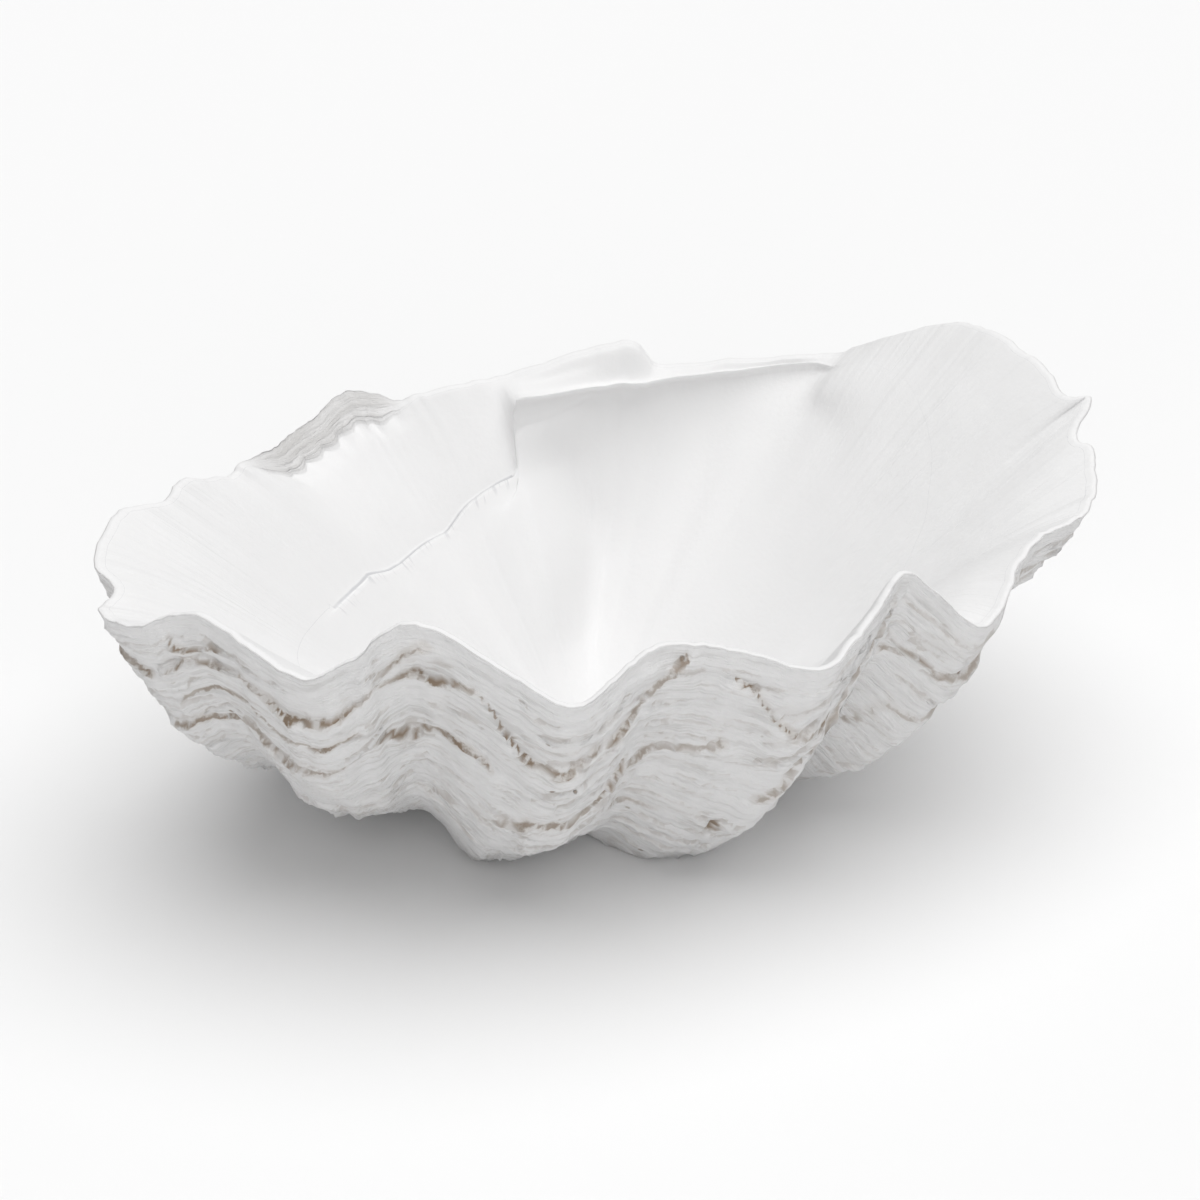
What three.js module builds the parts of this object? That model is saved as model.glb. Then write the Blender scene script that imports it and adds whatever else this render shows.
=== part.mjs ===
// One valve of a giant clam, a single thick piece lying with its round side down.
// Millimetres, +Z up, +X along the hinge, +Y towards the hinge.
// The finished shell is moved so that the origin is under its middle, on the surface that it rests on.
import * as THREE from 'three';
import { ParametricGeometry } from 'three/addons/geometries/ParametricGeometry.js';
import { mergeVertices } from 'three/addons/utils/BufferGeometryUtils.js';

// Driving dimensions: the rim, from the left tip along the wavy front, the right fan and the hinge.
// Each row is x, y, z and rib: 1 on the back of an outer rib, -1 in a furrow between two ribs.
const RIM = [
  [-220, -22, 149, 0.2],  // left tip
  [-214, -40, 142, -0.3],
  [-221, -54, 141, 0.3],  // left corner
  [-207, -74, 143, 0.8],  // first rib
  [-185, -84, 153, -0.8],
  [-164, -106, 147, 0.2],
  [-145, -120, 139, 1],  // second rib
  [-124, -124, 148, 0.2],
  [-100, -124, 163, -0.7],
  [-70, -138, 150, 0.7],
  [-38, -150, 132, 1],  // third rib
  [-13, -140, 143, 0.1],
  [7, -128, 145, -1],
  [34, -128, 138, 0.7],
  [70, -130, 127, 1],  // fourth rib
  [98, -108, 139, 0],
  [115, -94, 148, -1],
  [147, -98, 121, 1],  // fifth rib
  [176, -62, 137, -0.8],
  [208, -36, 137, 0.6],
  [219, -6, 148, 0.2],  // right tip
  [213, 4, 152, -0.4],
  [224, 20, 162, 0.4],
  [213, 24, 162, -0.3],
  [209, 42, 167, 0.3],
  [194, 66, 173, 0],  // top of the right fan
  [179, 84, 171, 0],
  [151, 100, 160, 0],
  [129, 112, 147, 0],  // right end of the hinge
  [85, 117, 146, 0],
  [46, 119, 145, 0],
  [20, 118, 157, 0],  // hinge tooth
  [-25, 110, 150, 0],  // left end of the hinge
  [-51, 103, 151, 0],
  [-76, 98, 149, 0],  // gape beside the hinge
  [-97, 98, 155, 0],
  [-115, 86, 150, 0],
  [-132, 70, 146, 0],
  [-151, 46, 151, 0],
  [-159, 38, 149, -0.3],
  [-180, 24, 157, 0.3],  // left fan
  [-189, 14, 152, -0.3],
  [-207, 6, 155, 0.2],
];
const SMOOTH_SPAN = 6;  // rim points averaged to take the waves out of the rim
const LIP = 4;  // width of the rim's top edge

// The outside: where its ribs meet behind the hinge, and the sections from the rim to there.
// A section's reach is how far in front of the beak it starts. Shares are of the way to the beak.
const BEAK = new THREE.Vector3(-62, 140, 90);
const SIDE_REACH = { from: 45, to: 110 };
const FRONT_REACH = { from: 120, to: 230 };
const UPPER_SHARE = { hinge: -0.04, side: 0.12, front: 0.33, setback: 0.1 };
const LOWER_SHARE = { side: 0.6, front: 0.75 };
const LOWER = { lift: 25, drop: 0.58 };  // height over the beak, and fall per millimetre of reach
const SWELL = { depth: 26, reachFrom: 15, reachTo: 60, xFrom: -100, xTo: 60 };  // behind the right fan
const RIB = { height: 7, full: 0.2, fade: 0.35, end: 0.9 };  // ribs stand out between these shares

// Belly of the wall below the rim, per millimetre of reach. Places count along the rim points.
const BELLY = [
  { place: 0, drop: 0.68 }, { place: 2, drop: 0.68 }, { place: 3, drop: 0.735 },
  { place: 4, drop: 0.82 }, { place: 5, drop: 0.79 }, { place: 6, drop: 0.66 },
  { place: 7, drop: 0.69 }, { place: 8, drop: 0.74 }, { place: 9, drop: 0.79 },
  { place: 10, drop: 0.69 }, { place: 12, drop: 0.82 }, { place: 13, drop: 0.88 },
  { place: 14, drop: 0.855 }, { place: 15, drop: 0.81 }, { place: 16, drop: 0.875 },
  { place: 17, drop: 0.87 }, { place: 18, drop: 0.8 }, { place: 19, drop: 0.66 },
  { place: 20, drop: 0.625 }, { place: 24, drop: 0.63 }, { place: 26, drop: 0.72 },
  { place: 27, drop: 0.8 }, { place: 28, drop: 0.76 }, { place: 30, drop: 0.88 },
  { place: 31, drop: 0.87 }, { place: 32, drop: 0.72 }, { place: 34, drop: 0.765 },
  { place: 35, drop: 0.68 }, { place: 37, drop: 0.64 }, { place: 39, drop: 0.65 },
  { place: 40, drop: 0.68 }, { place: 43, drop: 0.68 },
];

// The inside: its lowest point, and the sections from the rim to there.
const FLOOR = new THREE.Vector3(-10, -20, 20);
const FACING = { from: 0.3, to: 0.95 };  // how squarely a wall looks forwards or back
const WALL = {
  side: { slope: 0.24, upper: 0.38, lower: 0.7 },
  front: { drop: 75, upper: 0.15, lower: 0.6 },
  back: { drop: 44, upper: 0.28, lift: 40 },
};

// Crease at the foot of the back slope, where the mantle was fixed. Places count along the rim points,
// and share is how much of a section lies above the crease.
const CREASE = [
  { place: 0, share: 0.34, depth: 0 },
  { place: 21, share: 0.34, depth: 0 },
  { place: 27.4, share: 0.03, depth: 0 },
  { place: 31.6, share: 0.2, depth: 0 },
  { place: 32.3, share: 0.24, depth: 2 },
  { place: 33.2, share: 0.27, depth: 3 },
  { place: 34.5, share: 0.316, depth: 3 },
  { place: 36.7, share: 0.331, depth: 2.5 },
  { place: 38.1, share: 0.324, depth: 1.8 },
  { place: 41.2, share: 0.34, depth: 0 },
  { place: 43, share: 0.34, depth: 0 },
];
const CREASE_STEP = 0.02;  // share of a section over which the other side of the crease rises
const CREASE_FALL = 3;  // the slope above the crease bends down as this power

// Valley down the back wall: the place of its bottom at each height. It is steep on the right.
const VALLEY = [
  { z: 20, x: -5 },
  { z: 60, x: 5 },
  { z: 83, x: 14 },
  { z: 93, x: 14 },
  { z: 110, x: 8 },
  { z: 134, x: -6 },
];
const VALLEY_CUT = { depth: 12, left: 38, right: 17, from: [26, 28.5], to: [34, 37], height: [30, 66] };
const VALLEY_WAY = new THREE.Vector3(0, 0.75, -0.66);  // back and down, square to the wall

// Growth ledges round the outside: how far down the wall each one is, and how far it stands out.
const LEDGES = [
  { at: 0.05, height: 3 },
  { at: 0.085, height: 2 },
  { at: 0.13, height: 2.5 },
  { at: 0.2, height: 2 },
];
const LEDGE_LENGTH = 0.09;  // the share of a section over which a ledge sinks back

// Hinge plate: how far it stands in, the height of its front edge, the depth of the pocket under it,
// the share of its width that is solid below, the upright face under that, and the run of the pocket's top.
const PLATE = [
  { place: 27, width: 1, front: 150, pocket: 2, solid: 0.3, face: 0, run: 8 },
  { place: 28, width: 1, front: 146, pocket: 5, solid: 0.3, face: 0, run: 8 },
  { place: 28.65, width: 2, front: 144, pocket: 13, solid: 0.3, face: 0, run: 6 },
  { place: 29, width: 4.5, front: 143.5, pocket: 24, solid: 0.3, face: 0, run: 5 },
  { place: 29.75, width: 7, front: 143, pocket: 34, solid: 0.3, face: 0, run: 4 },
  { place: 30, width: 12, front: 143.5, pocket: 38, solid: 0.3, face: 0, run: 4 },
  { place: 30.4, width: 12.5, front: 144.5, pocket: 37, solid: 0.3, face: 0, run: 4 },
  { place: 31, width: 14, front: 145.5, pocket: 31, solid: 0.45, face: 3, run: 8 },
  { place: 31.4, width: 15, front: 146.5, pocket: 22, solid: 0.7, face: 8, run: 18 },
  { place: 32.05, width: 16, front: 148, pocket: 14, solid: 0.92, face: 12, run: 28 },
  { place: 32.5, width: 17, front: 148.5, pocket: 14, solid: 1.4, face: 20, run: 24 },
  { place: 33, width: 18, front: 149, pocket: 14, solid: 1.65, face: 25, run: 22 },
  { place: 34, width: 18, front: 150, pocket: 14, solid: 2.3, face: 40, run: 20 },
];
const PLATE_ENDS = { from: [27.4, 28.4], to: [32, 32.5] };
const POCKET_ENDS = { from: [25.5, 29.5], to: [31.4, 35] };  // the pocket dies out more slowly
const PLATE_EDGE = { thick: 3, round: 1, root: 1.5, ramp: [0.1, 0.8] };
const POCKET_FALL = 1.25;  // how far the pocket's curve aims below its depth
const TOOTH = { height: 9, rise: [30, 30.24], fall: [30.3, 31] };  // hinge tooth on the rim
const GAPE = { width: 13, drop: 11, from: [33.7, 34.7], to: [37.2, 38.2] };  // gape beside the hinge

// Rows of points on the outside and on the inside, and columns round the rim.
const OUTER_ROWS = [
  1, 0.85, 0.7, 0.58, 0.47, 0.37, 0.28, 0.202, 0.198, 0.132, 0.128, 0.087, 0.083, 0.052, 0.048, 0.02, 0,
];
const ON_CREASE = 0.36;  // this row runs along the crease or the plate's front edge
const UNDER_CREASE = 0.385;
const IN_POCKET = 0.5;
const INNER_ROWS = [
  0, 0.12, 0.24, ON_CREASE, (ON_CREASE + UNDER_CREASE) / 2, UNDER_CREASE,
  0.42, 0.46, 0.51, 0.57, 0.64, 0.72, 0.8, 0.9, 1,
];
const COLUMNS = RIM.length * 3;
const SAME_POINT = 1e-3;  // points nearer than this are one

const { clamp, lerp, smoothstep } = THREE.MathUtils;
const rimPoints = RIM.map(([x, y, z]) => new THREE.Vector3(x, y, z));
const ribPoints = RIM.map((row) => new THREE.Vector3(row[3], 0, 0));
const rimCurve = new THREE.CatmullRomCurve3(rimPoints, true, 'catmullrom');
const ribCurve = new THREE.CatmullRomCurve3(ribPoints, true, 'catmullrom');

// The rim with its waves averaged out.
function smoothRim(u) {
  const sum = new THREE.Vector3();
  for (let i = 0; i < SMOOTH_SPAN; i += 1) {
    const step = (i - (SMOOTH_SPAN - 1) / 2) / RIM.length;
    sum.add(rimCurve.getPoint((u + step + 1) % 1));
  }
  return sum.divideScalar(SMOOTH_SPAN);
}

// 1 well inside a stretch of the rim, 0 outside it.
function within(place, { from, to }) {
  return smoothstep(place, ...from) * (1 - smoothstep(place, ...to));
}

// A value read between the rows of a table, and from its end rows outside it.
function readRow(rows, by, at, name) {
  const passed = rows.filter((row) => row[by] <= at).length;
  const next = clamp(passed, 1, rows.length - 1);
  const [a, b] = [rows[next - 1], rows[next]];
  return lerp(a[name], b[name], clamp((at - a[by]) / (b[by] - a[by]), 0, 1));
}

function rimPoint(u) {
  const point = rimCurve.getPoint(u);
  point.z += TOOTH.height * within(u * RIM.length, { from: TOOTH.rise, to: TOOTH.fall });
  return point;
}

function ledgeRelief(t) {
  return LEDGES.reduce((most, { at, height }) => {
    const below = (t - at) / LEDGE_LENGTH;
    return below < 0 ? most : Math.max(most, height * (1 - below));
  }, 0);
}

// The outside, from the rim (t = 0) under the belly to the beak (t = 1).
function outerPoint(u, t, target) {
  const rim = rimPoint(u);
  const calm = smoothRim(u);
  const reach = BEAK.y - calm.y;
  const lateral = smoothstep(reach, SIDE_REACH.from, SIDE_REACH.to);
  const frontal = smoothstep(reach, FRONT_REACH.from, FRONT_REACH.to);
  const upperShare = lerp(lerp(UPPER_SHARE.hinge, UPPER_SHARE.side, lateral), UPPER_SHARE.front, frontal);
  const swellShare = smoothstep(reach, SWELL.reachFrom, SWELL.reachTo) * (1 - frontal);
  const swell = SWELL.depth * swellShare * smoothstep(rim.x, SWELL.xFrom, SWELL.xTo);
  const startY = lerp(Math.max(rim.y, calm.y), calm.y, frontal);
  const upper = new THREE.Vector3(
    lerp(calm.x, BEAK.x, upperShare),
    lerp(startY, BEAK.y, UPPER_SHARE.setback) + swell,
    calm.z - readRow(BELLY, 'place', u * RIM.length, 'drop') * reach,
  );
  const lower = new THREE.Vector3(
    lerp(calm.x, BEAK.x, lerp(LOWER_SHARE.side, LOWER_SHARE.front, frontal)),
    BEAK.y + swell / 2,
    BEAK.z + LOWER.lift - LOWER.drop * reach,
  );
  const section = new THREE.CubicBezierCurve3(rim, upper, lower, BEAK);
  const tangent = section.getTangent(t);
  const inward = BEAK.clone().sub(rim).setZ(0).normalize();
  const along = tangent.dot(inward);
  const ribShare = smoothstep(t, 0, RIB.full) * (1 - smoothstep(t, RIB.fade, RIB.end));
  const ledge = ledgeRelief(t) * lateral;
  const relief = RIB.height * ribCurve.getPoint(u).x * ribShare + ledge;
  section.getPoint(t, target);
  target.addScaledVector(inward, tangent.z * relief);
  target.z = Math.max(0, target.z - along * relief);
}

// The hinge plate and the pocket under it, on the way from the rim's inner edge to the lowest point.
function platePoint(place, row, edge, inward, lower) {
  const [width, front, pocket, solid, face, run] = ['width', 'front', 'pocket', 'solid', 'face', 'run']
    .map((name) => readRow(PLATE, 'place', place, name));
  const flat = edge.clone().setZ(front);
  const root = flat.clone().addScaledVector(inward, width * solid);
  root.z -= PLATE_EDGE.thick + PLATE_EDGE.root + face;
  if (row <= ON_CREASE) {
    const share = row / ON_CREASE;
    flat.addScaledVector(inward, width * share);
    flat.z += (edge.z - front) * (1 - smoothstep(share, ...PLATE_EDGE.ramp));
    return flat;
  }
  if (row < UNDER_CREASE) {
    flat.addScaledVector(inward, width - PLATE_EDGE.round);
    flat.z -= PLATE_EDGE.thick;
    return flat;
  }
  const hollow = root.clone().addScaledVector(inward, run);
  hollow.z -= pocket * POCKET_FALL;
  const section = new THREE.CubicBezierCurve3(root, hollow, lower, FLOOR);
  return section.getPoint((row - UNDER_CREASE) / (1 - UNDER_CREASE));
}

// How far the valley is cut into the back wall at a point.
function valleyDepth(place, row, { x, z }) {
  const { depth, left, right, height } = VALLEY_CUT;
  const off = x - readRow(VALLEY, 'z', z, 'x');
  const profile = off < 0 ? 1 - smoothstep(-off, 0, left) : Math.exp(-off / right);
  const down = smoothstep(row, UNDER_CREASE, IN_POCKET) * smoothstep(z, ...height);
  return depth * profile * down * within(place, VALLEY_CUT);
}

// The inside, from the rim's inner edge (row = 0) to the lowest point of the hollow (row = 1).
function innerPoint(u, row, target) {
  const place = u * RIM.length;
  const rim = rimPoint(u);
  const calm = smoothRim(u);
  const inward = FLOOR.clone().sub(rim).setZ(0).normalize();
  const run = FLOOR.clone().sub(calm).setZ(0).length();
  const front = smoothstep(inward.y, FACING.from, FACING.to);
  const back = smoothstep(-inward.y, FACING.from, FACING.to);

  const gape = within(place, GAPE);
  const tangent = rimCurve.getTangent(u);
  const across = new THREE.Vector3(-tangent.y, tangent.x, 0).normalize().add(inward).normalize();
  const edge = rim.clone().addScaledVector(across, lerp(LIP, GAPE.width, gape));
  edge.z -= GAPE.drop * gape;

  const drop = lerp(lerp(WALL.side.slope * run, WALL.front.drop, front), WALL.back.drop, back);
  const upperShare = lerp(lerp(WALL.side.upper, WALL.front.upper, front), WALL.back.upper, back);
  const lowerShare = lerp(WALL.side.lower, WALL.front.lower, front);
  const upper = calm.clone().lerp(FLOOR, upperShare).setZ(calm.z - drop);
  const lower = calm.clone().lerp(FLOOR, lowerShare).setZ(FLOOR.z + WALL.back.lift * back);

  const share = readRow(CREASE, 'place', place, 'share');
  const depth = readRow(CREASE, 'place', place, 'depth');
  const above = clamp(row / ON_CREASE, 0, 1);
  const step = clamp((row - ON_CREASE) / (UNDER_CREASE - ON_CREASE), 0, 1);
  const beyond = clamp((row - UNDER_CREASE) / (1 - UNDER_CREASE), 0, 1);
  const section = new THREE.CubicBezierCurve3(edge, upper, lower, FLOOR);
  section.getPoint(share * above + (1 - share) * lerp(CREASE_STEP * step, 1, beyond), target);
  target.z -= depth * above ** CREASE_FALL * (1 - step);

  const pocketShare = smoothstep(row, UNDER_CREASE, IN_POCKET);
  const hinge = lerp(within(place, PLATE_ENDS), within(place, POCKET_ENDS), pocketShare);
  target.lerp(platePoint(place, row, edge, inward, lower), hinge);
  target.addScaledVector(VALLEY_WAY, valleyDepth(place, row, target));
}

function skinPoint(u, v, target) {
  const row = Math.round(clamp(v, 0, 1) * (OUTER_ROWS.length + INNER_ROWS.length - 1));
  if (row < OUTER_ROWS.length) {
    outerPoint(u % 1, OUTER_ROWS[row], target);
  } else {
    innerPoint(u % 1, INNER_ROWS[row - OUTER_ROWS.length], target);
  }
}

function closedSkin() {
  const sheet = new ParametricGeometry(skinPoint, COLUMNS, OUTER_ROWS.length + INNER_ROWS.length - 1);
  sheet.deleteAttribute('normal');
  sheet.deleteAttribute('uv');
  const skin = mergeVertices(sheet, SAME_POINT);
  const corners = skin.index.array;
  const kept = [];
  for (let i = 0; i < corners.length; i += 3) {
    const [a, b, c] = corners.slice(i, i + 3);
    if (a !== b && b !== c && c !== a) kept.push(a, b, c);
  }
  skin.setIndex(kept);
  skin.computeBoundingBox();
  const middle = skin.boundingBox.getCenter(new THREE.Vector3());
  skin.translate(-middle.x, -middle.y, -skin.boundingBox.min.z);
  return skin;
}

const shell = new THREE.Mesh(
  closedSkin(),
  new THREE.MeshStandardMaterial({ color: 0xf2f0ee, roughness: 0.85, metalness: 0 }),
);
shell.name = 'shell';

const clamShell = new THREE.Group();
clamShell.add(shell);

export default clamShell;
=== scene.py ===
import bpy
import bmesh
import math
import numpy as np
from mathutils import Matrix, Vector, noise


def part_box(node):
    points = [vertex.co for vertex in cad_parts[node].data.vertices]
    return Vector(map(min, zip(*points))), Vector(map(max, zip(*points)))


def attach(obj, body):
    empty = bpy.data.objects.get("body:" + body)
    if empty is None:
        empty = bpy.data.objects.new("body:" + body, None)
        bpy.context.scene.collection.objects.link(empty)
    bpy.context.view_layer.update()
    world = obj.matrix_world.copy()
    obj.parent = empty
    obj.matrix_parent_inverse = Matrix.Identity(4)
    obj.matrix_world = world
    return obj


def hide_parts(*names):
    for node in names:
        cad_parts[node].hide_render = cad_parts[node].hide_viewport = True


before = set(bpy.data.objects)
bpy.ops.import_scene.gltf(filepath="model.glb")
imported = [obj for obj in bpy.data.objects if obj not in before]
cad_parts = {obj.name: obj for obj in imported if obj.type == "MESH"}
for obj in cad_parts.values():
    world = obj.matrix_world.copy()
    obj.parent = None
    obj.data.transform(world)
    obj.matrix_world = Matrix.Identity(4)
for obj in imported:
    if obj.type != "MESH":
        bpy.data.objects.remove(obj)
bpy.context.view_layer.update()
boxLow, boxHigh = (np.array(corner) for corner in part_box("shell"))
scene = bpy.context.scene


def clip(x, low=0.0, high=1.0):
    return np.minimum(np.maximum(x, low), high)


def ease(x, low, high):
    share = clip((np.asarray(x, float) - low) / (high - low))
    return share * share * (3 - 2 * share)


def between(x, rise, fall):  # 1 between two soft ends, 0 beyond them
    return ease(x, *rise) * (1 - ease(x, *fall))


def mix(a, b, share):
    return a + (b - a) * share


def unit(v):
    return v / np.maximum(np.linalg.norm(v, axis=-1, keepdims=True), 1e-9)


def spread(stretches):  # even steps inside each stretch, and the last end
    steps = [np.linspace(a, b, n, endpoint=False) for a, b, n in stretches]
    return np.append(np.concatenate(steps), stretches[-1][1])


def readRows(rows, at):  # the further columns of a table, read where its first column is at
    first, *columns = np.array(rows, float).T
    return [np.interp(at, first, column) for column in columns]


def roundCurve(points, place):  # closed smooth curve, place is counted in points
    start = np.floor(place).astype(int)
    f = (place - start)[..., None]
    a, b, c, d = (points[(start + k) % len(points)] for k in (-1, 0, 1, 2))
    return b + 0.5 * f * (c - a + f * (2 * a - 5 * b + 4 * c - d + f * (3 * (b - c) + d - a)))


def section(ends, t):  # bezier sections: four (columns, 3) arrays and (columns, rows) shares
    a, b, c, d = (p[:, None, :] for p in ends)
    t = t[:, :, None]
    s = 1 - t
    point = s**3 * a + 3 * s * s * t * b + 3 * s * t * t * c + t**3 * d
    way = s * s * (b - a) + 2 * s * t * (c - b) + t * t * (d - c)
    return point, unit(way)


def lengths(point):  # millimetres down each section to every row
    steps = np.linalg.norm(np.diff(point, axis=1), axis=2)
    return np.concatenate([np.zeros((len(point), 1)), np.cumsum(steps, axis=1)], axis=1)


def lumps(x, y, z):  # soft noise over arrays, about -1 to 1
    fall, finer, octaves = 0.9, 2.0, 3
    x, y, z = np.broadcast_arrays(x, y, z)
    values = [noise.fractal(p, fall, finer, octaves, noise_basis="PERLIN_ORIGINAL")
              for p in zip(x.flat, y.flat, z.flat)]
    return np.array(values).reshape(x.shape)


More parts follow.
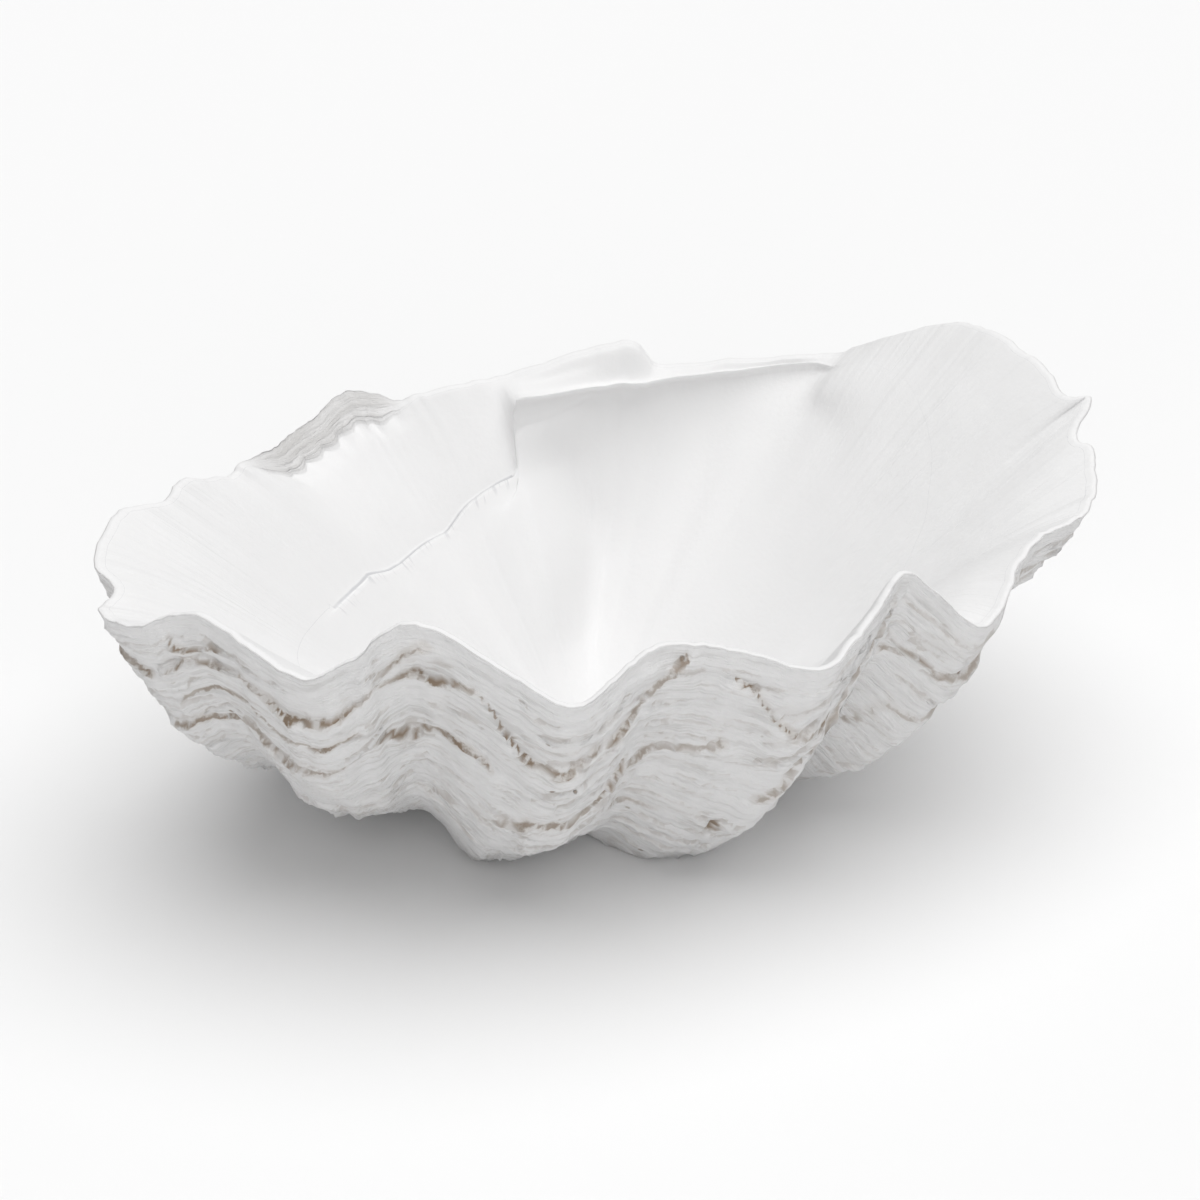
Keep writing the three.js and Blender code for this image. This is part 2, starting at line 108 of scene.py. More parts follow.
# the shell's drawing in millimetres, as in the part; a place counts the rim's points, and where a
# pair stands beside from or to, something fades in or out between the two
shell = {
    "span": ((-221, 224), (-150, 142.8)),  # x and y of the whole drawing
    "rim": [  # x, y, z, and 1 on a rib or -1 in a furrow
        (-220, -22, 149, 0.2), (-214, -40, 142, -0.3), (-221, -54, 141, 0.3), (-207, -74, 143, 0.8),
        (-185, -84, 153, -0.8), (-164, -106, 147, 0.2), (-145, -120, 139, 1), (-124, -124, 148, 0.2),
        (-100, -124, 163, -0.7), (-70, -138, 150, 0.7), (-38, -150, 132, 1), (-13, -140, 143, 0.1),
        (7, -128, 145, -1), (34, -128, 138, 0.7), (70, -130, 127, 1), (98, -108, 139, 0),
        (115, -94, 148, -1), (147, -98, 121, 1), (176, -62, 137, -0.8), (208, -36, 137, 0.6),
        (219, -6, 148, 0.2), (213, 4, 152, -0.4), (224, 20, 162, 0.4), (213, 24, 162, -0.3),
        (209, 42, 167, 0.3), (194, 66, 173, 0), (179, 84, 171, 0), (151, 100, 160, 0),
        (129, 112, 147, 0), (85, 117, 146, 0), (46, 119, 145, 0), (20, 118, 157, 0),
        (-25, 110, 150, 0), (-51, 103, 151, 0), (-76, 98, 149, 0), (-97, 98, 155, 0),
        (-115, 86, 150, 0), (-132, 70, 146, 0), (-151, 46, 151, 0), (-159, 38, 149, -0.3),
        (-180, 24, 157, 0.3), (-189, 14, 152, -0.3), (-207, 6, 155, 0.2),
    ],
    "calmSpan": 6,  # points in the moving average that takes the waves out of the rim
    "tangentStep": 0.01,
    "lip": {"width": 4, "crown": 0.7},
    "ragged": {"height": 1.1, "layers": [(1, 11, 20), (0.5, 4, 9)]},  # share, size, shift for each axis
    "tooth": {"from": (30.0, 30.24), "to": (30.3, 31), "height": 9},  # on the hinge

    # outside, from the rim under the belly to the beak
    "beak": (-62, 140, 90),
    "sideReach": (45, 110),
    "frontReach": (120, 230),
    "upperShare": {"hinge": -0.04, "side": 0.12, "front": 0.33, "setback": 0.1},
    "lowerShare": {"side": 0.6, "front": 0.75},
    "lower": {"lift": 25, "drop": 0.58},
    "swell": {"depth": 26, "reach": (15, 60), "x": (-100, 60)},
    "rib": {"height": 7, "from": (0, 0.2), "to": (0.35, 0.9)},
    "belly": [  # place, fall for each millimetre of reach
        (0, 0.68), (2, 0.68), (3, 0.735), (4, 0.82), (5, 0.79), (6, 0.66), (7, 0.69), (8, 0.74),
        (9, 0.79), (10, 0.69), (12, 0.82), (13, 0.88), (14, 0.855), (15, 0.81), (16, 0.875), (17, 0.87),
        (18, 0.8), (19, 0.66), (20, 0.625), (24, 0.63), (26, 0.72), (27, 0.8), (28, 0.76), (30, 0.88),
        (31, 0.87), (32, 0.72), (34, 0.765), (35, 0.68), (37, 0.64), (39, 0.65), (40, 0.68), (43, 0.68),
    ],

    # inside, from the rim to the lowest point of the hollow
    "floor": (-10, -20, 20),
    "facing": (0.3, 0.95),
    "wall": {
        "slope": 0.24, "frontDrop": 75, "backDrop": 44, "backLift": 40,
        "upper": {"side": 0.38, "front": 0.15, "back": 0.28}, "lower": {"side": 0.7, "front": 0.6},
    },
    "waves": {"side": 9, "front": 3.4},  # how fast the rim's waves die out
    "crease": {  # at the foot of the back slope: place, share of the section above it, depth
        "rows": [
            (0, 0.34, 0), (21, 0.34, 0), (27.4, 0.03, 0), (31.6, 0.2, 0), (32.3, 0.24, 2),
            (33.2, 0.27, 3), (33.9, 0.297, 3), (34.5, 0.316, 3), (36.7, 0.331, 2.5),
            (38.1, 0.324, 1.8), (40.2, 0.34, 0.7), (41.2, 0.34, 0), (43, 0.34, 0),
        ],
        "row": 0.36, "foot": 0.385, "free": 0.5, "step": 0.012,
        # where the crease gets its line of painted shade
        "creaseShade": {"dip": 0.6, "from": 32.45, "reach": 25},
    },
    "hinge": {
        # place, the plate's width, height of its front edge, depth of the pocket, share of the width
        # that is solid below, upright face under it, run of the pocket's top
        "rows": [
            (27, 1, 150, 2, 0.3, 0, 8), (28, 1, 146, 5, 0.3, 0, 8), (28.65, 2, 144, 13, 0.3, 0, 6),
            (29, 4.5, 143.5, 24, 0.3, 0, 5), (29.75, 7, 143, 34, 0.3, 0, 4),
            (30, 12, 143.5, 38, 0.3, 0, 4), (30.4, 12.5, 144.5, 37, 0.3, 0, 4),
            (31, 14, 145.5, 31, 0.45, 3, 8), (31.4, 15, 146.5, 22, 0.7, 8, 18),
            (32.05, 16, 148, 14, 0.92, 12, 28), (32.5, 17, 148.5, 14, 1.4, 20, 24),
            (33, 18, 149, 14, 1.65, 25, 22), (34, 18, 150, 14, 2.3, 40, 20),
        ],
        "from": (27.4, 28.4), "to": (32, 32.5), "wideFrom": (25.5, 29.5), "wideTo": (31.4, 35),
        "thick": 3, "lipBack": 1, "under": 1.5, "pull": 1.25, "settle": (0.1, 0.8),
        "socket": {"from": (30.9, 31.2), "to": (31.5, 32), "at": 5, "width": 2, "depth": 1.5},
    },
    "valley": {  # down the back wall: height and x of its bottom, gentle on the left, steep on the right
        "rows": [(20, -5), (60, 5), (83, 14), (93, 14), (110, 8), (134, -6)],
        "depth": 12, "left": 38, "right": 17, "way": (0, -0.75, 0.66),
        "from": (26, 28.5), "to": (34, 37), "heights": (30, 66),
    },
    "gape": {
        "from": (33.7, 34.7), "to": (37.2, 38.2), "width": 13, "drop": 11,
        "teeth": 9, "tooth": 5, "toothReach": 9, "calmSpan": 3,
    },
    # faint furrows down from the rim, weaker on the back slope, and soft unevenness
    "comb": {"layers": [(0.3, 7, 160, 6)], "from": (3, 12), "to": (35, 90)},
    "calmBack": {"share": 0.7, "from": (24.5, 28), "to": (38.5, 40)},
    "soft": {"height": 0.5, "size": 25, "level": 2.5, "from": (4, 20)},

    # growth ledges on the outside: (place, millimetres below the rim) along each one, how far it
    # stands out, how far down it sinks back, and how brown and dark its crevice is painted, as dirt and as
    # painted crevice shade
    "ledges": [
        {"line": [(3.2, 23), (4.5, 22.4), (5.3, 24), (5.5, 27), (5.8, 25), (6.25, 23), (6.65, 25),
                  (6.9, 22), (7.3, 20.5), (7.7, 23.8), (8.2, 25), (8.65, 21.5), (8.8, 19.5), (9, 23),
                  (9.2, 31), (9.4, 38), (9.6, 38.5), (9.8, 35.5), (10.2, 33), (10.4, 30), (10.7, 33),
                  (11, 33), (11.3, 26.6), (11.5, 20), (11.85, 16), (12.1, 10.4), (12.35, 3)],
         "height": 4.2, "length": 30, "stainAndShade": 1.0},
        {"line": [(7.1, 9), (7.5, 17), (7.9, 13.4), (8.35, 8)], "height": 2.0, "length": 14, "stainAndShade": 0.7},
        {"line": [(3.4, 7), (3.6, 14), (3.85, 17), (4.1, 16), (4.5, 13)],
         "height": 2.6, "length": 12, "stainAndShade": 0.9},
        {"line": [(3.2, 43), (3.85, 42.5), (4.25, 42), (4.6, 38.5), (4.9, 41), (5.4, 44), (5.7, 41),
                  (6.5, 39.4), (7, 38)],
         "height": 3.4, "length": 26, "stainAndShade": 0.9},
        {"line": [(2.6, 62), (3.35, 60), (3.9, 65), (4.5, 57), (5, 58), (5.4, 61), (5.9, 58), (6.6, 58)],
         "height": 3.0, "length": 24, "stainAndShade": 0.75},
        {"line": [(7.1, 50), (7.3, 52), (7.6, 57), (7.9, 61), (8.25, 55), (8.6, 54), (8.85, 53.6),
                  (9.1, 57)],
         "height": 4.0, "length": 30, "stainAndShade": 1.0},
        {"line": [(9, 90), (9.2, 87.7), (9.4, 84), (9.7, 78), (10.1, 78), (10.4, 81), (10.7, 80),
                  (11, 72), (11.2, 61), (11.4, 57)],
         "height": 3.6, "length": 34, "stainAndShade": 0.9},
        {"line": [(6.9, 100), (7.2, 101), (7.5, 104), (7.8, 113), (8.1, 117), (8.3, 108), (8.6, 104)],
         "height": 2.4, "length": 24, "stainAndShade": 0.4},
        {"line": [(11.2, 64), (11.6, 63), (12.1, 57.5), (12.5, 53), (12.8, 51.3), (13.2, 48)],
         "height": 3.0, "length": 28, "stainAndShade": 0.7},
        {"line": [(11.2, 95), (11.85, 105), (12.2, 104.6), (12.6, 100)],
         "height": 2.2, "length": 20, "stainAndShade": 0.6},
        {"line": [(12.9, 11), (13.2, 16), (13.35, 22), (13.5, 27), (13.85, 33.7), (14.1, 35),
                  (14.3, 37), (14.6, 38.4)],
         "height": 3.0, "length": 24, "stainAndShade": 0.9},
        {"line": [(13.6, 78), (13.85, 74), (14.05, 62), (14.2, 48), (14.5, 42), (15, 33), (15.45, 26),
                  (15.7, 16), (15.85, 4)],
         "height": 4.4, "length": 30, "stainAndShade": 0.7},
        {"line": [(16.1, 96), (16.3, 84), (16.4, 72), (16.45, 64), (16.7, 60), (17, 58), (17.5, 50)],
         "height": 3.0, "length": 26, "stainAndShade": 0.6},
        {"line": [(15.9, 43), (16.1, 40), (16.4, 33), (16.8, 30.6), (17.05, 31), (17.4, 26), (17.9, 18)],
         "height": 2.8, "length": 24, "stainAndShade": 0.7},
        {"line": [(15.9, 12), (16.2, 13.8), (16.4, 13.2), (16.9, 12), (17.4, 9)],
         "height": 1.8, "length": 12, "stainAndShade": 0.3},
        {"line": [(18, 26), (20, 30), (24, 26)], "height": 2.6, "length": 24, "stainAndShade": 0.5},
        {"line": [(39, 26), (41, 24), (43, 20)], "height": 2.6, "length": 22, "stainAndShade": 0.6},
        {"line": [(0, 19), (1, 17), (2, 22), (3, 27)], "height": 2.6, "length": 18, "stainAndShade": 0.7},
    ],
    # steps between the ledges: millimetres from one to the next, how far they stand out, how uneven
    "lamellae": [
        {"period": 12, "height": 2.6, "wander": 0.8, "seed": 1.7, "stainAndShade": 0.25},
        {"period": 4.6, "height": 1.2, "wander": 0.9, "seed": 6.3, "stainAndShade": 0.15},
    ],
    # single marks, a nodule and a chip: where, radius, how far it stands out, how brown and dark it is
    # painted
    "spots": [
        {"at": (16.24, 24.7), "radius": 4.6, "height": 2.6, "stainAndShade": 0},
        {"at": (13.36, 100.9), "radius": 4.2, "height": -4.5, "stainAndShade": 1},
    ],
    "growth": {
        "reach": 12.0,  # the furthest that a point's distance to a crevice is told
        "under": 2,  # below a ledge's edge that distance grows this much faster
        "ragged": [(1.8, 14, 60, 3), (0.5, 6, 40, 8)],  # height, size round the rim and down, seed
        "wander": [(1, 60, 50, 0), (0.4, 14, 20, 3)],
        "rough": [(0.7, 16, 16, 4), (0.4, 5, 5, 2)], "roughFrom": (1, 8),
        "ends": (0.25, 0.15), "face": (-1.4, 1.0), "patch": {"middle": 0.8, "spread": 0.6, "size": 22},
        "from": (3, 12), "to": (150, 230), "rise": 1.6, "stainAndShadeFrom": (0.3, 0.6),
        "band": {"middle": 0.5, "spread": 1.6, "size": 34, "periods": 1.4, "seed": 7},
        "spotEdge": (0.4, 1.2), "spotStainAndShade": 0.7,
    },
    "grid": {  # stretches of places or of shares of a section, and how many columns or rows each has
        "columns": [(0, 20, 250), (20, 28, 52), (28, 33.5, 40), (33.5, 38.5, 72), (38.5, 43, 34)],
        "outer": [(0, 0.24, 80), (0.24, 0.5, 28), (0.5, 1, 12)],
        "lip": 5,
        "inner": [(0, 0.06, 8), (0.06, 0.36, 22), (0.36, 0.385, 4), (0.385, 0.5, 14), (0.5, 0.8, 18),
                  (0.8, 1, 8)],
    },
}


class Valve:
    # what is worked out once for each column of the skin
    seedStep = 7.3

    def __init__(self, d, place):
        rimRows = np.array(d["rim"], float)
        path = rimRows[:, :3]
        span, step = d["calmSpan"], d["tangentStep"]
        self.place = place
        self.rim = roundCurve(path, place)
        self.ribs = roundCurve(rimRows[:, 3:], place)[:, 0]
        self.calm = sum(roundCurve(path, place + (k - (span - 1) / 2)) for k in range(span)) / span
        self.tangent = unit(roundCurve(path, place + step) - roundCurve(path, place - step))
        self.gape = between(place, d["gape"]["from"], d["gape"]["to"])
        tooth, ragged = d["tooth"], d["ragged"]
        self.rim[:, 2] += tooth["height"] * between(place, tooth["from"], tooth["to"])
        x, y, z = self.rim.T
        for axis in range(3):
            self.rim[:, axis] += ragged["height"] * sum(
                share * lumps(x / size, y / size, z / size + shift * axis)
                for share, size, shift in ragged["layers"])
        gaps = np.linalg.norm(np.diff(self.rim, axis=0, append=self.rim[:1]), axis=1)
        self.along = np.concatenate([[0], np.cumsum(gaps)[:-1]])
        # the rim laid out as a circle, so that noise has no seam
        turn = 2 * np.pi * self.along / gaps.sum()
        self.ring = np.stack([np.cos(turn), np.sin(turn)], axis=1) * gaps.sum() / (2 * np.pi)

    def lumps(self, across, depth, down, seed):  # noise by millimetres round the rim and below it
        x, y = (self.ring / across).T[:, :, None]
        return lumps(x + self.seedStep * seed, y, depth / down)

    def layered(self, layers, depth, seed=0):
        return sum(height * self.lumps(across, depth, down, seed + own)
                   for height, across, down, own in layers)


def growth(d, v, depth):  # relief of the ledges, distance to the nearest crevice, and how brown and dark it is painted, as dirt and as painted crevice shade
    g = d["growth"]
    ragged = v.layered(g["ragged"], depth)
    relief = np.zeros(depth.shape)
    gap = np.full(depth.shape, g["reach"])
    stainAndShade = np.zeros(depth.shape)

    def crevice(away, brown):
        closer = away < gap
        stainAndShade[closer] = np.broadcast_to(brown, gap.shape)[closer]
        gap[closer] = away[closer]

    past, inside = g["ends"]
    patch, band = g["patch"], g["band"]
    for number, ledge in enumerate(d["ledges"]):
        first, last = ledge["line"][0][0], ledge["line"][-1][0]
        [down] = readRows(ledge["line"], v.place)
        square = 1 / np.hypot(1, np.gradient(down, v.along))[:, None]
        below = depth - down[:, None] - ragged
        here = between(v.place, (first - past, first + inside), (last - inside, last + past))[:, None]
        uneven = v.lumps(patch["size"], np.zeros((1, 1)), 1, number)
        patchy = patch["middle"] + patch["spread"] * uneven
        height = ledge["height"] * here * patchy
        step = ease(below, *g["face"]) * clip(1 - below / ledge["length"])
        relief = np.maximum(relief, height * step)
        away = np.where(below < 0, -below, g["under"] * below) * square
        crevice(away + g["reach"] * (1 - here), ledge["stainAndShade"] * patchy)
    fade = between(depth, g["from"], g["to"])
    for step in d["lamellae"]:
        seed, period = step["seed"], step["period"]
        waves = (depth + ragged) / period + step["wander"] * v.layered(g["wander"], depth, seed)
        phase = waves - np.floor(waves)
        uneven = v.lumps(band["size"], depth, band["periods"] * period, seed + band["seed"])
        strength = clip(band["middle"] + band["spread"] * uneven) * fade
        rise = g["rise"] / period
        saw = np.minimum(phase / rise, (1 - phase) / (1 - rise))
        relief = relief + step["height"] * saw * strength
        away = period * np.minimum(1 - phase, g["under"] * phase)
        crevice(away + g["reach"] * (1 - ease(strength, *g["stainAndShadeFrom"])), step["stainAndShade"])
    relief = relief + v.layered(g["rough"], depth) * ease(depth, *g["roughFrom"])
    for spot in d["spots"]:
        place, down = spot["at"]
        centre = np.interp(place, v.place, v.along)
        away = np.hypot(v.along[:, None] - centre, depth - down) / spot["radius"]
        relief = relief + spot["height"] * (1 - ease(away, *g["spotEdge"]))
        if spot["stainAndShade"]:
            crevice(np.maximum(away - g["spotStainAndShade"], 0) * spot["radius"], spot["stainAndShade"])
    return relief, gap, stainAndShade


def outerWall(d, v, t):
    beak = np.array(d["beak"], float)
    reach = beak[1] - v.calm[:, 1]
    lateral = ease(reach, *d["sideReach"])
    frontal = ease(reach, *d["frontReach"])
    swell = d["swell"]
    bulge = swell["depth"] * ease(reach, *swell["reach"]) * (1 - frontal) * ease(v.rim[:, 0], *swell["x"])
    share = d["upperShare"]
    upperShare = mix(mix(share["hinge"], share["side"], lateral), share["front"], frontal)
    startY = mix(np.maximum(v.rim[:, 1], v.calm[:, 1]), v.calm[:, 1], frontal)
    [drop] = readRows(d["belly"], v.place)
    upper = np.stack([
        mix(v.calm[:, 0], beak[0], upperShare),
        mix(startY, beak[1], share["setback"]) + bulge,
        v.calm[:, 2] - drop * reach,
    ], axis=1)
    lowerShare = mix(d["lowerShare"]["side"], d["lowerShare"]["front"], frontal)
    lower = np.stack([
        mix(v.calm[:, 0], beak[0], lowerShare),
        beak[1] + bulge / 2,
        beak[2] + d["lower"]["lift"] - d["lower"]["drop"] * reach,
    ], axis=1)
    ends = (v.rim, upper, lower, np.broadcast_to(beak, v.rim.shape))
    point, way = section(ends, np.broadcast_to(t, (len(v.rim), len(t))))
    depth = lengths(point)
    flakes, gap, stainAndShade = growth(d, v, depth)
    rib = d["rib"]
    ribShare = between(t, rib["from"], rib["to"])[None, :]
    relief = rib["height"] * v.ribs[:, None] * ribShare + flakes * lateral[:, None]
    inward = unit((beak - v.rim) * (1, 1, 0))[:, None, :]
    along = (way * inward).sum(axis=2)
    point = point + inward * (way[:, :, 2] * relief)[:, :, None]
    point[:, :, 2] = np.maximum(0, point[:, :, 2] - along * relief)  # flat where it rests
    return point, depth, gap, stainAndShade * lateral[:, None]


def innerWall(d, v, r):
    low = np.array(d["floor"], float)
    up = np.array([0, 0, 1.0])
    inward = unit((low - v.rim) * (1, 1, 0))
    run = np.linalg.norm((low - v.calm)[:, :2], axis=1)
    front = ease(inward[:, 1], *d["facing"])
    back = ease(-inward[:, 1], *d["facing"])
    leftHand = unit(np.stack([-v.tangent[:, 1], v.tangent[:, 0], np.zeros(len(v.rim))], axis=1))
    across = unit(leftHand + inward)
    g = d["gape"]
    width = mix(d["lip"]["width"], g["width"], v.gape)[:, None]
    shift = across * width - up * (g["drop"] * v.gape)[:, None]
    edge, calmEdge = v.rim + shift, v.calm + shift

    w = d["wall"]
    drop = mix(mix(w["slope"] * run, w["frontDrop"], front), w["backDrop"], back)
    share = w["upper"]
    upperShare = mix(mix(share["side"], share["front"], front), share["back"], back)[:, None]
    lowerShare = mix(w["lower"]["side"], w["lower"]["front"], front)[:, None]
    upper = mix(v.calm, low, upperShare)
    upper[:, 2] = v.calm[:, 2] - drop
    lower = mix(v.calm, low, lowerShare)
    lower[:, 2] = low[2] + w["backLift"] * back
    bottom = np.broadcast_to(low, edge.shape)

    # rows are shared out so that one of them runs along the crease
    c = d["crease"]
    end, dip = (column[:, None] for column in readRows(c["rows"], v.place))
    above = clip(r / c["row"])[None, :]
    step = clip((r - c["row"]) / (c["foot"] - c["row"]))[None, :]
    beyond = clip((r - c["foot"]) / (1 - c["foot"]))[None, :]
    free = ease(r, c["foot"], c["free"])[None, :]
    t = end * above + (1 - end) * mix(c["step"] * step, 1, beyond)
    point = section((calmEdge, upper, lower, bottom), t)[0]
    fade = (1 - t) ** mix(d["waves"]["side"], d["waves"]["front"], front)[:, None]
    point = point + (edge - calmEdge)[:, None, :] * fade[:, :, None]
    point[:, :, 2] -= dip * above**3 * (1 - step)

    # at the hinge a plate stands in over a pocket, and the wall starts at the back of it
    h = d["hinge"]
    columns = (column[:, None] for column in readRows(h["rows"], v.place))
    plateWidth, plateHeight, pocketDepth, solid, face, forward = columns
    flat = edge * (1, 1, 0) + up * plateHeight
    plate = flat + inward * plateWidth
    lip = flat + inward * (plateWidth - h["lipBack"]) - up * h["thick"]
    behind = flat + inward * plateWidth * solid - up * (h["thick"] + h["under"])
    foot = behind - up * face
    pocket = foot + inward * forward - up * pocketDepth * h["pull"]
    held = section((foot, pocket, lower, bottom), np.broadcast_to(beyond, t.shape))[0]
    stops = [(0, flat), (c["row"], plate), ((c["row"] + c["foot"]) / 2, lip), (c["foot"], behind)]
    for row, share in enumerate(r):
        for (start, a), (stop, b) in zip(stops, stops[1:]):
            if start <= share < stop:
                held[:, row] = mix(a, b, (share - start) / (stop - start))
    onPlate = r < c["row"]
    held[:, :, 2] += (edge[:, 2:] - plateHeight) * (1 - ease(above, *h["settle"])) * onPlate
    s = h["socket"]
    dent = np.exp(-(((plateWidth * above - s["at"]) / s["width"]) ** 2))
    held[:, :, 2] -= s["depth"] * dent * between(v.place, s["from"], s["to"])[:, None] * onPlate
    near = between(v.place, h["from"], h["to"])[:, None]
    wide = between(v.place, h["wideFrom"], h["wideTo"])[:, None]
    point = mix(point, held, mix(near, wide, free)[:, :, None])

    # valley down the back wall
    w = d["valley"]
    [bottoms] = readRows(w["rows"], point[:, :, 2])
    off = point[:, :, 0] - bottoms
    leftSide, rightSide = 1 - ease(-off, 0, w["left"]), np.exp(-np.maximum(off, 0) / w["right"])
    here = between(v.place, w["from"], w["to"])[:, None] * free * ease(point[:, :, 2], *w["heights"])
    cut = w["depth"] * np.where(off < 0, leftSide, rightSide) * here
    point = point - np.array(w["way"]) * cut[:, :, None]

    # teeth along the gape
    depth = lengths(point)
    first, last = g["from"][0], g["to"][1]
    teeth = np.abs((v.place - first) / (last - first) * g["teeth"] % 1 - 0.5) * 2
    notch = g["tooth"] * (v.gape * teeth)[:, None] * (1 - ease(depth, 0, g["toothReach"]))
    point -= across[:, None, :] * notch[:, :, None]

    comb, calmBack, soft = d["comb"], d["calmBack"], d["soft"]
    furrows = v.layered(comb["layers"], depth) * between(depth, comb["from"], comb["to"])
    weaker = 1 - calmBack["share"] * between(v.place, calmBack["from"], calmBack["to"])[:, None]
    x, y = point[:, :, 0] / soft["size"], point[:, :, 1] / soft["size"]
    uneven = soft["height"] * lumps(x, y, soft["level"]) * ease(depth, *soft["from"])
    point[:, :, 2] += furrows * weaker + uneven

    # millimetres from the crease, negative above it, where its painted shade line is drawn
    s = c["creaseShade"]
    creaseRow = int(np.argmin(np.abs(r - c["row"])))
    aside = depth - depth[:, creaseRow][:, None]
    marked = (dip > s["dip"]) & (v.place > s["from"])[:, None]
    aside = np.where(marked, aside, np.where(aside < 0, -s["reach"], s["reach"]))
    return point[:, 0], point[:, 1:], depth[:, 1:], clip(aside, -s["reach"], s["reach"])[:, 1:]


def buildShell(d):
    v = Valve(d, spread(d["grid"]["columns"])[:-1])
    outside, outDepth, gap, stainAndShade = outerWall(d, v, spread(d["grid"]["outer"]))
    edge, inside, inDepth, aside = innerWall(d, v, spread(d["grid"]["inner"]))

    # the lip between them, smooth until close to the gape's teeth
    lipRows, span, gape = d["grid"]["lip"], d["gape"]["calmSpan"], v.gape[:, None]
    s = (np.arange(lipRows) + 1) / (lipRows + 1)
    calmEdge = sum(np.roll(edge, k, axis=0) for k in range(-span, span + 1)) / (2 * span + 1)
    softEdge = mix(edge, calmEdge, gape)
    nearEdge = mix(edge[:, None, :], softEdge[:, None, :], (1 - s**5)[None, :, None])
    lip = mix(v.rim[:, None, :], nearEdge, s[None, :, None])
    lip[:, :, 2] += d["lip"]["crown"] * np.sin(np.pi * s)[None, :]

    # one sheet: beak, outside, lip, inside, lowest point of the hollow
    sheet = np.concatenate([outside[:, ::-1], lip, inside], axis=1)
    shapes = outDepth.shape, lip.shape[:2], inDepth.shape

    def strip(*values):  # values on the outside, the lip and the inside, in the sheet's order
        outer, middle, inner = (np.broadcast_to(a, shape) for a, shape in zip(values, shapes))
        return np.concatenate([outer[:, ::-1], middle, inner], axis=1)

    ringX, ringY = v.ring[:, :1], v.ring[:, 1:]
    noGap, noCreaseShade = d["growth"]["reach"], d["crease"]["creaseShade"]["reach"]
    layers = {
        "fromRim": strip(outDepth, -s * d["gape"]["width"], -inDepth - 1),
        "outerSkin": strip(1.0, gape, 0.0),
        "ringX": strip(ringX, ringX, ringX),
        "ringY": strip(ringY, ringY, ringY),
        "ledgeGap": strip(gap, noGap, noGap),
        "stainAndShade": strip(stainAndShade, 0.0, 0.0),
        "creaseSide": strip(noCreaseShade, noCreaseShade, aside),
    }
    (left, right), (front, back) = d["span"]
    mm = (boxHigh[0] - boxLow[0]) / (right - left)  # metres for a millimetre of the drawing
    drawn = np.array([(left + right) / 2, (front + back) / 2, 0])
    stands = np.array([(boxLow[0] + boxHigh[0]) / 2, (boxLow[1] + boxHigh[1]) / 2, boxLow[2]])
    sheet = (sheet - drawn) * mm + stands

    columns, rows = sheet.shape[:2]
    bm = bmesh.new()
    bmesh.ops.create_grid(bm, x_segments=columns, y_segments=rows - 1, size=1)
    stored = {name: bm.verts.layers.float.new(name) for name in layers}
    for vert in bm.verts:
        i = round((vert.co.x + 1) / 2 * columns) % columns
        j = round((vert.co.y + 1) / 2 * (rows - 1))
        vert.co = sheet[i, j]
        for name, layer in stored.items():
            vert[layer] = layers[name][i, j]
    bmesh.ops.remove_doubles(bm, verts=bm.verts, dist=1e-6)
    bmesh.ops.recalc_face_normals(bm, faces=bm.faces)
    for face in bm.faces:
        face.smooth = True
    mesh = bpy.data.meshes.new("clamShell")
    bm.to_mesh(mesh)
    bm.free()
    piece = bpy.data.objects.new("clamShell", mesh)
    scene.collection.objects.link(piece)
    print("shell:", len(mesh.vertices), "points,", len(mesh.polygons), "faces")
    return piece


class Sock:
    # a socket that takes Python arithmetic
    def __init__(self, paint, socket):
        self.paint, self.socket = paint, socket

    def math(self, operation, *values):
        return self.paint.node("ShaderNodeMath", {"operation": operation}, dict(enumerate(values)))

    def __add__(self, other): return self.math("ADD", self, other)
    def __radd__(self, other): return self.math("ADD", other, self)
    def __sub__(self, other): return self.math("SUBTRACT", self, other)
    def __rsub__(self, other): return self.math("SUBTRACT", other, self)
    def __mul__(self, other): return self.math("MULTIPLY", self, other)
    def __rmul__(self, other): return self.math("MULTIPLY", other, self)
    def __truediv__(self, other): return self.math("DIVIDE", self, other)
    def __rtruediv__(self, other): return self.math("DIVIDE", other, self)
    def __abs__(self): return self.math("ABSOLUTE", self)


class Paint:
    def __init__(self, name):
        self.material = bpy.data.materials.new(name)
        self.material.use_nodes = True
        self.tree = self.material.node_tree
        self.shader = self.tree.nodes["Principled BSDF"]

    def node(self, kind, settings=None, inputs=None, output=0):
        made = self.tree.nodes.new(kind)
        for key, value in (settings or {}).items():
            setattr(made, key, value)
        self.put(made, inputs or {})
        return Sock(self, made.outputs[output])

    def put(self, node, inputs):
        for key, value in inputs.items():
            if isinstance(value, Sock):
                self.tree.links.new(value.socket, node.inputs[key])
            else:
                node.inputs[key].default_value = value

    def attribute(self, name):
        return self.node("ShaderNodeAttribute", {"attribute_name": name}, output="Fac")

    def blend(self, share, a, b):
        return self.node("ShaderNodeMix", {"data_type": "RGBA"}, {0: share, 6: a, 7: b}, output=2)

    def fit(self, value, low, high, toLow=0.0, toHigh=1.0):
        ends = {0: value, 1: low, 2: high, 3: toLow, 4: toHigh}
        return self.node("ShaderNodeMapRange", {"interpolation_type": "SMOOTHSTEP"}, ends)


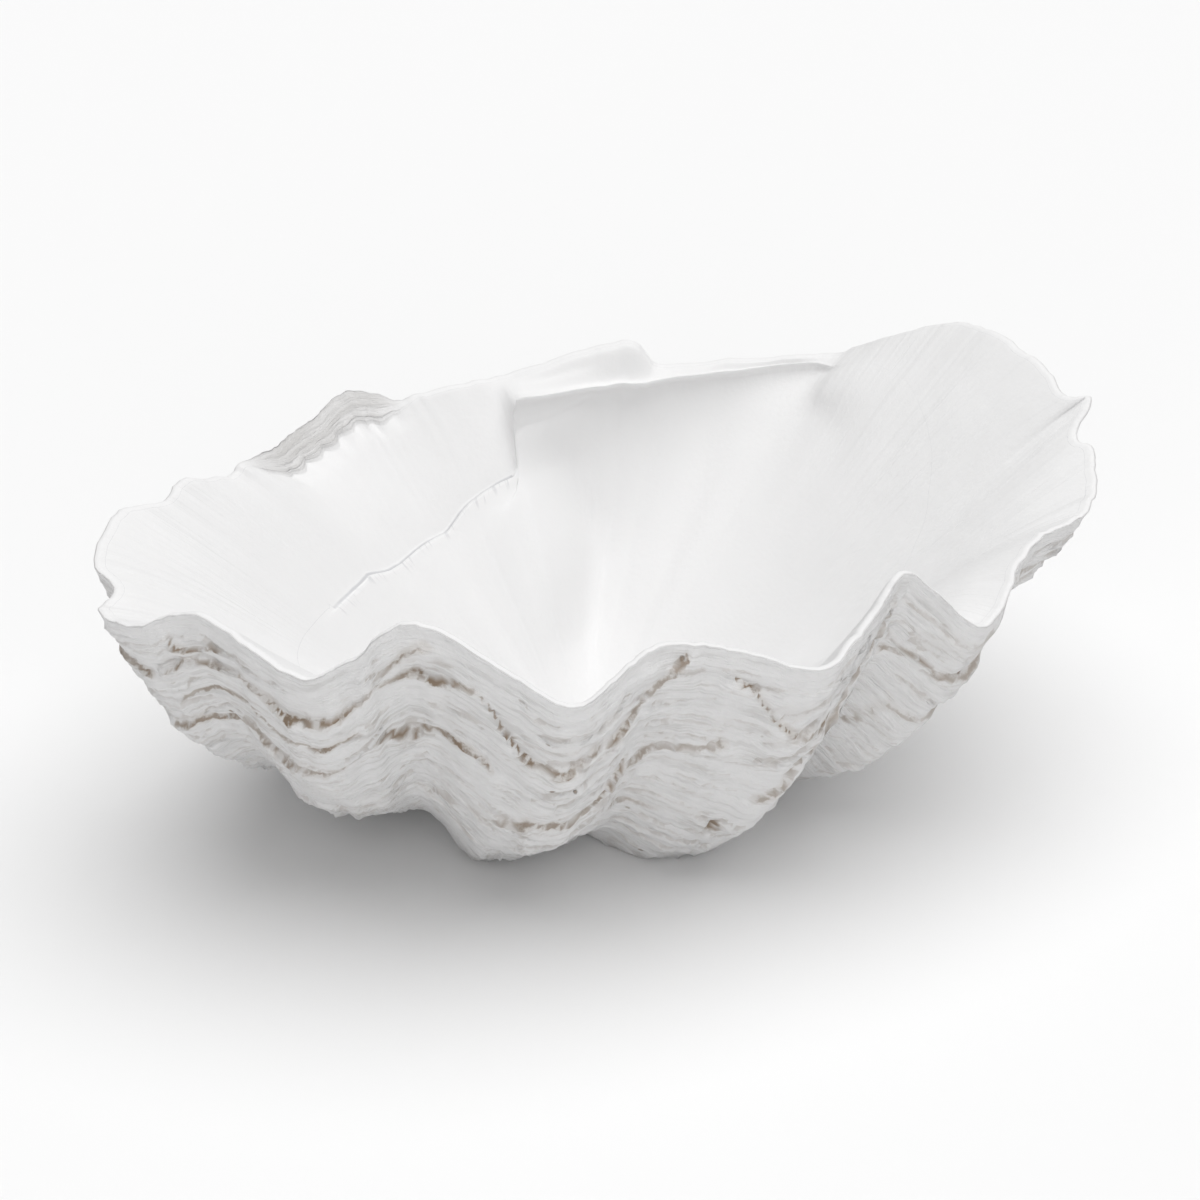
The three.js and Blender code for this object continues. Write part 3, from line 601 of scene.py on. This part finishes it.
# a share is how much of a colour is laid on, and ragged is how far noise moves an edge
chalk = {
    "inside": (0.79, 0.787, 0.787, 1),
    "outside": (0.78, 0.775, 0.775, 1),
    "grey": (0.57, 0.56, 0.55, 1),
    "tan": (0.50, 0.445, 0.39, 1),
    "brown": (0.27, 0.205, 0.15, 1),
    # grey of the painted shade line along the crease, and of the hatch marks below it
    "creaseShadeAndHatchGrey": (0.5, 0.5, 0.52, 1),
    "rough": 0.82, "roughSpread": 0.2, "gloss": 0.3,
    "cloud": {"Scale": 42.0, "Detail": 4.0, "Roughness": 0.6},
    "grain": {"Scale": 420.0, "Detail": 3.0, "Roughness": 0.6},
    "lines": {"across": 40, "down": 2.6, "detail": 5.0, "roughness": 0.62},
    "wash": {"lines": (0.48, 0.64), "cloud": (0.36, 0.6), "share": 0.55},
    "halo": {"edge": (0.3, 4.0), "ragged": 7, "share": 0.45},
    "crackDirtAndShade": {"edge": (0.5, 1.6), "ragged": 2.4, "share": 0.95},
    "pits": {"scale": 75.0, "edge": (0.05, 0.11), "ragged": 0.1, "cloud": (0.5, 0.56), "share": 0.8},
    # painted shade on the gape's front face
    "gapeFaceShade": {"edge": (0.5, -1.0), "lines": (0.3, 0.65, 0.3, 0.8)},
    "creaseShade": {"at": -0.4, "edge": (0.2, 1.3), "ragged": 1.5, "cloud": (0.3, 0.5, 0.35, 0.75)},
    "hatch": {"across": 2.2, "down": 14, "lines": (0.56, 0.66), "from": (0.0, 0.8), "to": (2.0, 8.0),
              "ragged": 8, "share": 0.4},
    "streaks": {"across": 3.2, "down": 150, "middle": -0.02, "fans": (0.09, 0.17)},
    "bump": {"Strength": 0.7, "Distance": 0.002},
    "height": {"lines": 1.5, "outerGrain": 0.25, "pits": 0.6, "grain": 0.1, "cloud": 0.1, "streaks": 0.45},
}


def chalkMaterial(c):
    p = Paint("shellChalk")
    fromRim, isOut, ringX, ringY, gap, stainAndShade, aside = (p.attribute(name) for name in (
        "fromRim", "outerSkin", "ringX", "ringY", "ledgeGap", "stainAndShade", "creaseSide"))
    coord = p.node("ShaderNodeTexCoord", output="Object")

    def skinNoise(across, way, down, detail=3.0, roughness=0.5):  # by millimetres round the rim and along way
        spot = p.node("ShaderNodeCombineXYZ", None, {0: ringX / across, 1: ringY / across, 2: way / down})
        look = {"Vector": spot, "Scale": 1.0, "Detail": detail, "Roughness": roughness}
        return p.node("ShaderNodeTexNoise", None, look)

    def moved(value, noiseValue, amount):
        return value + (noiseValue - 0.5) * amount

    cloud = p.node("ShaderNodeTexNoise", None, {"Vector": coord, **c["cloud"]})
    grain = p.node("ShaderNodeTexNoise", None, {"Vector": coord, **c["grain"]})
    n = c["lines"]
    lines = skinNoise(n["across"], fromRim, n["down"], n["detail"], n["roughness"])

    # chalky white, washed grey along the growth lines
    body = p.blend(isOut, c["inside"], c["outside"])
    n = c["wash"]
    wash = p.fit(lines, *n["lines"]) * p.fit(cloud, *n["cloud"]) * isOut
    body = p.blend(wash * n["share"], body, c["grey"])

    # brown dirt in the pits of the outside, and brown in its crevices that is dirt and painted crevice shade
    # both
    n = c["halo"]
    halo = (1 - p.fit(moved(gap, cloud, n["ragged"]), *n["edge"])) * stainAndShade
    body = p.blend(halo * n["share"], body, c["tan"])
    # the crevices' dark brown is dirt, darkened further as painted crevice shade
    n = c["crackDirtAndShade"]
    uneven = moved(moved(gap, grain, n["ragged"]), cloud, -n["ragged"])
    crackDirtAndShade = (1 - p.fit(uneven, *n["edge"])) * stainAndShade
    body = p.blend(crackDirtAndShade * n["share"], body, c["brown"])
    n = c["pits"]
    holes = p.node("ShaderNodeTexVoronoi", None, {"Vector": coord, "Scale": n["scale"]}, output="Distance")
    pits = (1 - p.fit(moved(holes, grain, n["ragged"]), *n["edge"])) * p.fit(cloud, *n["cloud"]) * isOut
    body = p.blend(pits * n["share"], body, c["brown"])

    # painted shade: grey on the broad edge of the gape, whose face turns to the front, broken up along the
    # growth lines
    n = c["gapeFaceShade"]
    gapeFaceShade = p.fit(fromRim, *n["edge"]) * isOut
    body = p.blend(gapeFaceShade * p.fit(lines, *n["lines"]), body, c["grey"])

    # painted shade: a grey line along the crease, with grey hatch marks below it
    n = c["creaseShade"]
    creaseShade = 1 - p.fit(abs(moved(aside - n["at"], cloud, n["ragged"])), *n["edge"])
    creaseShade = creaseShade * p.fit(cloud, *n["cloud"])
    n = c["hatch"]
    ticks = p.fit(skinNoise(n["across"], aside, n["down"]), *n["lines"])
    hatch = ticks * p.fit(aside, *n["from"]) * (1 - p.fit(moved(aside, cloud, n["ragged"]), *n["to"]))
    body = p.blend((creaseShade + hatch * n["share"]) * (1 - isOut), body, c["creaseShadeAndHatchGrey"])

    # fine streaks on the two fans
    n = c["streaks"]
    x = p.node("ShaderNodeSeparateXYZ", None, {0: coord})
    fans = p.fit(abs(x - n["middle"]), *n["fans"]) * (1 - isOut)
    streaks = skinNoise(n["across"], fromRim, n["down"]) * fans
    n = c["height"]
    outer = (lines * n["lines"] + grain * n["outerGrain"] - pits * n["pits"]) * isOut
    height = outer + grain * n["grain"] + cloud * n["cloud"] + streaks * n["streaks"]
    p.put(p.shader, {
        "Base Color": body,
        "Roughness": moved(c["rough"], grain, c["roughSpread"]),
        "Normal": p.node("ShaderNodeBump", None, {"Height": height, **c["bump"]}),
        "Specular IOR Level": c["gloss"],
    })
    return p.material


clamShell = buildShell(shell)
clamShell.data.materials.append(chalkMaterial(chalk))
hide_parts("shell")
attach(clamShell, "root")

studio = {
    "floor": {"Base Color": (0.85, 0.85, 0.85, 1), "Roughness": 0.9, "Specular IOR Level": 0.1},
    "floorSize": 12,
    "sky": {"Color": (1, 1, 1, 1), "Strength": 0.3},
    "lamps": {  # strength, apparent size, and degrees towards the back and the right from overhead
        "softKey": {"strength": 2.38, "angle": 70, "lean": (2, 9)},
        "frontFill": {"strength": 0.8, "angle": 60, "lean": (-70, -10)},
    },
    "camera": {  # pixel is metres for one pixel at the target, which is seen at this pixel of the picture
        "elevation": 30, "azimuth": -10, "distance": 1.9, "target": (-0.0015, 0.01375, 0.095),
        "pixel": 0.00044, "at": (597, 585), "picture": 1200, "sensor": 36,
    },
}


def setStudio(s):
    bm = bmesh.new()
    bmesh.ops.create_grid(bm, x_segments=1, y_segments=1, size=s["floorSize"])
    bmesh.ops.translate(bm, verts=bm.verts, vec=(0, 0, float(boxLow[2])))
    mesh = bpy.data.meshes.new("studioFloor")
    bm.to_mesh(mesh)
    bm.free()
    floor = bpy.data.objects.new("studioFloor", mesh)
    scene.collection.objects.link(floor)
    paper = Paint("floorPaper")
    paper.put(paper.shader, s["floor"])
    mesh.materials.append(paper.material)

    world = bpy.data.worlds.new("studioSky")
    world.use_nodes = True
    for name, value in s["sky"].items():
        world.node_tree.nodes["Background"].inputs[name].default_value = value
    scene.world = world

    for name, setting in s["lamps"].items():
        lamp = bpy.data.lights.new(name, "SUN")
        lamp.energy = setting["strength"]
        lamp.angle = math.radians(setting["angle"])
        light = bpy.data.objects.new(name, lamp)
        back, right = (math.radians(x) for x in setting["lean"])
        light.rotation_euler = (-back, right, 0)
        scene.collection.objects.link(light)

    c = s["camera"]
    a, e = math.radians(c["azimuth"]), math.radians(c["elevation"])
    backward = Vector((math.sin(a) * math.cos(e), -math.cos(a) * math.cos(e), math.sin(e)))
    rightward = Vector((math.cos(a), math.sin(a), 0))
    upward = backward.cross(rightward)
    lens = bpy.data.cameras.new("photoView")
    lens.sensor_width = c["sensor"]
    lens.lens = c["sensor"] * c["distance"] / c["pixel"] / c["picture"]
    lens.shift_x = (c["picture"] / 2 - c["at"][0]) / c["picture"]
    lens.shift_y = (c["at"][1] - c["picture"] / 2) / c["picture"]
    view = bpy.data.objects.new("photoView", lens)
    turned = Matrix((rightward, upward, backward)).transposed().to_4x4()
    view.matrix_world = Matrix.Translation(Vector(c["target"]) + backward * c["distance"]) @ turned
    scene.collection.objects.link(view)
    scene.camera = view
    scene.view_settings.view_transform = "Standard"


setStudio(studio)
print("studio ready")
